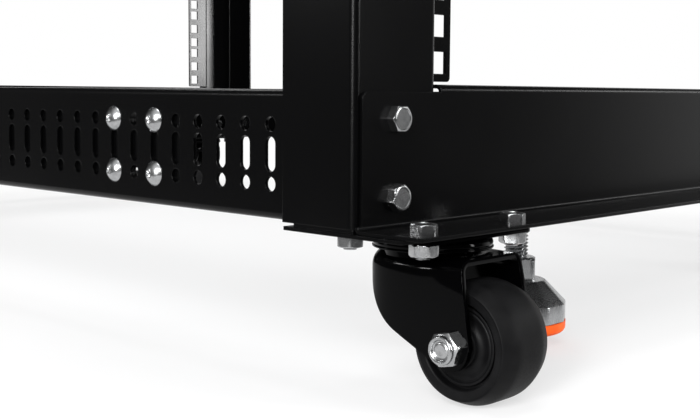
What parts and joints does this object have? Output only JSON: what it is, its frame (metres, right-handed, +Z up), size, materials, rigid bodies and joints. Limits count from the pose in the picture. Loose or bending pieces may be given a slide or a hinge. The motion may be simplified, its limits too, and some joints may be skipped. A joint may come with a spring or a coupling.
{
  "type": "open-frame rack",
  "caption": "Open four-post equipment rack of folded black sheet steel, with telescoping side rails, swivel casters and levelling feet.",
  "frame": {"origin": "middle of the floor under the rack, between the four posts", "axes": "+X along the cross beams, to the right seen from the front; +Y from front to rear; +Z up"},
  "size_m": [0.604, 0.8924, 0.8587],
  "materials": {
    "powder_coat_black": "satin, fine-textured black powder coat",
    "caster_black": "gloss black coating",
    "zinc_plate": "bright zinc plate",
    "zinc_foot": "turned steel, bright zinc plate",
    "wheel_black": "matte charcoal moulding",
    "pad_orange": "matte orange"
  },
  "bodies": {
    "root": {"post_front_left": "powder_coat_black", "post_front_right": "powder_coat_black", "post_rear_left": "powder_coat_black", "post_rear_right": "powder_coat_black", "caster_plate_front_left": "caster_black", "caster_plate_front_right": "caster_black", "caster_plate_rear_left": "caster_black", "caster_plate_rear_right": "caster_black", "fasteners_front_left": "zinc_plate", "fasteners_front_right": "zinc_plate", "fasteners_rear_left": "zinc_plate", "fasteners_rear_right": "zinc_plate", "beam_front_bottom": "powder_coat_black", "beam_front_top": "powder_coat_black", "beam_rear_bottom": "powder_coat_black", "beam_rear_top": "powder_coat_black", "rail_left_bottom_outer": "powder_coat_black", "rail_left_bottom_inner": "powder_coat_black", "rail_left_top_outer": "powder_coat_black", "rail_left_top_inner": "powder_coat_black", "rail_right_bottom_outer": "powder_coat_black", "rail_right_bottom_inner": "powder_coat_black", "rail_right_top_outer": "powder_coat_black", "rail_right_top_inner": "powder_coat_black", "rail_screws_left": "zinc_plate", "rail_screws_right": "zinc_plate"},
    "swivel_front_left": {"fork_front_left": "caster_black", "axle_front_left": "zinc_plate"},
    "roller_front_left": {"wheel_front_left": "wheel_black"},
    "leveller_front_left": {"foot_front_left": "zinc_foot", "pad_front_left": "pad_orange"},
    "swivel_front_right": {"fork_front_right": "caster_black", "axle_front_right": "zinc_plate"},
    "roller_front_right": {"wheel_front_right": "wheel_black"},
    "leveller_front_right": {"foot_front_right": "zinc_foot", "pad_front_right": "pad_orange"},
    "swivel_rear_left": {"fork_rear_left": "caster_black", "axle_rear_left": "zinc_plate"},
    "roller_rear_left": {"wheel_rear_left": "wheel_black"},
    "leveller_rear_left": {"foot_rear_left": "zinc_foot", "pad_rear_left": "pad_orange"},
    "swivel_rear_right": {"fork_rear_right": "caster_black", "axle_rear_right": "zinc_plate"},
    "roller_rear_right": {"wheel_rear_right": "wheel_black"},
    "leveller_rear_right": {"foot_rear_right": "zinc_foot", "pad_rear_right": "pad_orange"}
  },
  "joints": [
    {"name": "swivel_front_left", "type": "hinge", "parent": "root", "child": "swivel_front_left", "pos_m": [-0.2528, -0.3956, 0.058], "axis": [0, 0, 1], "continuous": true},
    {"name": "roll_front_left", "type": "hinge", "parent": "swivel_front_left", "child": "roller_front_left", "pos_m": [-0.2528, -0.4212, 0.025], "axis": [1, 0, 0], "continuous": true},
    {"name": "level_front_left", "type": "slide", "parent": "root", "child": "leveller_front_left", "axis": [0, 0, 1], "range_m": [-0.02, 0.015]},
    {"name": "swivel_front_right", "type": "hinge", "parent": "root", "child": "swivel_front_right", "pos_m": [0.2528, -0.3956, 0.058], "axis": [0, 0, 1], "continuous": true},
    {"name": "roll_front_right", "type": "hinge", "parent": "swivel_front_right", "child": "roller_front_right", "pos_m": [0.2528, -0.4212, 0.025], "axis": [1, 0, 0], "continuous": true},
    {"name": "level_front_right", "type": "slide", "parent": "root", "child": "leveller_front_right", "axis": [0, 0, 1], "range_m": [-0.02, 0.015]},
    {"name": "swivel_rear_left", "type": "hinge", "parent": "root", "child": "swivel_rear_left", "pos_m": [-0.2528, 0.3956, 0.058], "axis": [0, 0, 1], "continuous": true},
    {"name": "roll_rear_left", "type": "hinge", "parent": "swivel_rear_left", "child": "roller_rear_left", "pos_m": [-0.2528, 0.4212, 0.025], "axis": [1, 0, 0], "continuous": true},
    {"name": "level_rear_left", "type": "slide", "parent": "root", "child": "leveller_rear_left", "axis": [0, 0, 1], "range_m": [-0.02, 0.015]},
    {"name": "swivel_rear_right", "type": "hinge", "parent": "root", "child": "swivel_rear_right", "pos_m": [0.2528, 0.3956, 0.058], "axis": [0, 0, 1], "continuous": true},
    {"name": "roll_rear_right", "type": "hinge", "parent": "swivel_rear_right", "child": "roller_rear_right", "pos_m": [0.2528, 0.4212, 0.025], "axis": [1, 0, 0], "continuous": true},
    {"name": "level_rear_right", "type": "slide", "parent": "root", "child": "leveller_rear_right", "axis": [0, 0, 1], "range_m": [-0.02, 0.015]}
  ]
}
